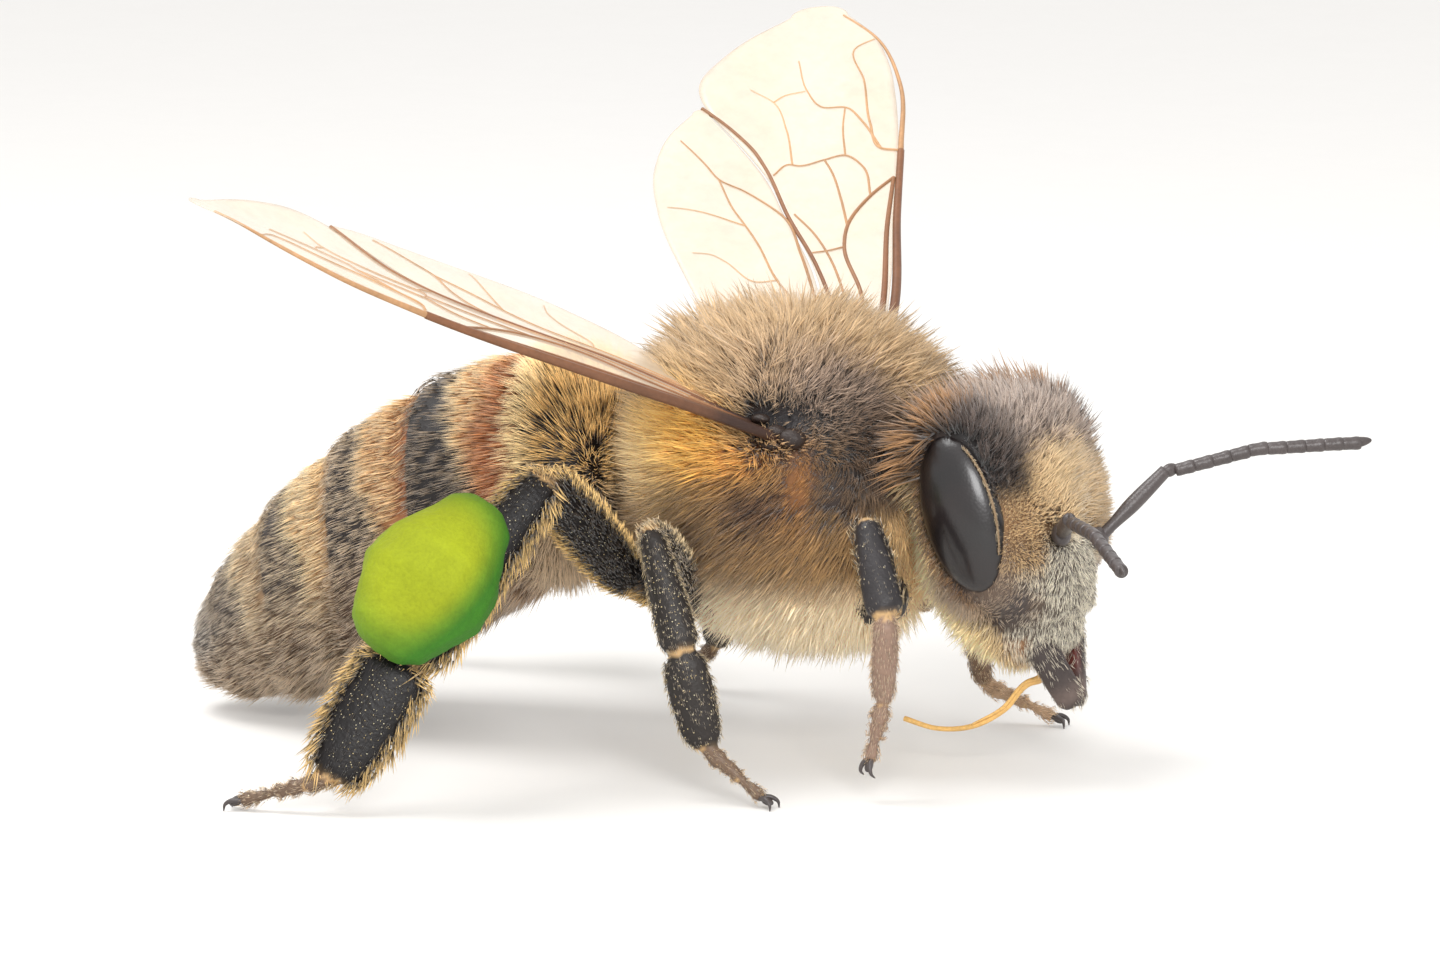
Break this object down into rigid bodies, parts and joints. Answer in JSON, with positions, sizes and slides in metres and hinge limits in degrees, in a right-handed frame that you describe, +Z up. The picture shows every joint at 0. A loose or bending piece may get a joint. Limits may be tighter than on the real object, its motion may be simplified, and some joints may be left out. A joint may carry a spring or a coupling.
{
  "type": "honey bee model",
  "caption": "Life-size still model of a worker honey bee standing with one front foot raised, wings spread and green pollen loads on its hind legs.",
  "frame": {"origin": "on the floor under the middle of the bounding box", "axes": "+X toward the bee's head, +Y to its left, +Z up"},
  "size_m": [0.0172, 0.0154, 0.0098],
  "materials": {
    "tan_coat": "dense upright pale tan hair over a dark shell",
    "brown_coat": "short brown-grey hair over a black shell",
    "banded_coat": "short tan hair over a glossy shell banded orange-brown and black",
    "leg_coat": "black shell with short pale hair",
    "dark_shell": "satin black-brown shell",
    "eye_shell": "glossy black",
    "tongue_shell": "golden brown, satin",
    "wing_membrane": "clear warm membrane with brown veins",
    "pollen": "matte granular lime green"
  },
  "bodies": {
    "root": {"abdomen_segment_1": "banded_coat", "abdomen_segment_2": "banded_coat", "abdomen_segment_3": "banded_coat", "abdomen_segment_4": "banded_coat", "abdomen_segment_5": "banded_coat", "abdomen_segment_6": "banded_coat", "eye_left": "eye_shell", "eye_right": "eye_shell", "feeler_scape_left": "dark_shell", "feeler_scape_right": "dark_shell", "feeler_whip_left": "dark_shell", "feeler_whip_right": "dark_shell", "fore_wing_left": "wing_membrane", "fore_wing_right": "wing_membrane", "head": "brown_coat", "hind_wing_left": "wing_membrane", "hind_wing_right": "wing_membrane", "jaw_left": "dark_shell", "jaw_right": "dark_shell", "left_front_basitarsus": "leg_coat", "left_front_claws": "dark_shell", "left_front_femur": "leg_coat", "left_front_tarsus": "leg_coat", "left_front_tibia": "leg_coat", "left_hind_basitarsus": "leg_coat", "left_hind_claws": "dark_shell", "left_hind_femur": "leg_coat", "left_hind_tarsus": "leg_coat", "left_hind_tibia": "leg_coat", "left_middle_basitarsus": "leg_coat", "left_middle_claws": "dark_shell", "left_middle_femur": "leg_coat", "left_middle_tarsus": "leg_coat", "left_middle_tibia": "leg_coat", "pollen_load_left": "pollen", "pollen_load_right": "pollen", "right_front_basitarsus": "leg_coat", "right_front_claws": "dark_shell", "right_front_femur": "leg_coat", "right_front_tarsus": "leg_coat", "right_front_tibia": "leg_coat", "right_hind_basitarsus": "leg_coat", "right_hind_claws": "dark_shell", "right_hind_femur": "leg_coat", "right_hind_tarsus": "leg_coat", "right_hind_tibia": "leg_coat", "right_middle_basitarsus": "leg_coat", "right_middle_claws": "dark_shell", "right_middle_femur": "leg_coat", "right_middle_tarsus": "leg_coat", "right_middle_tibia": "leg_coat", "thorax": "tan_coat", "tongue": "tongue_shell"}
  },
  "joints": []
}
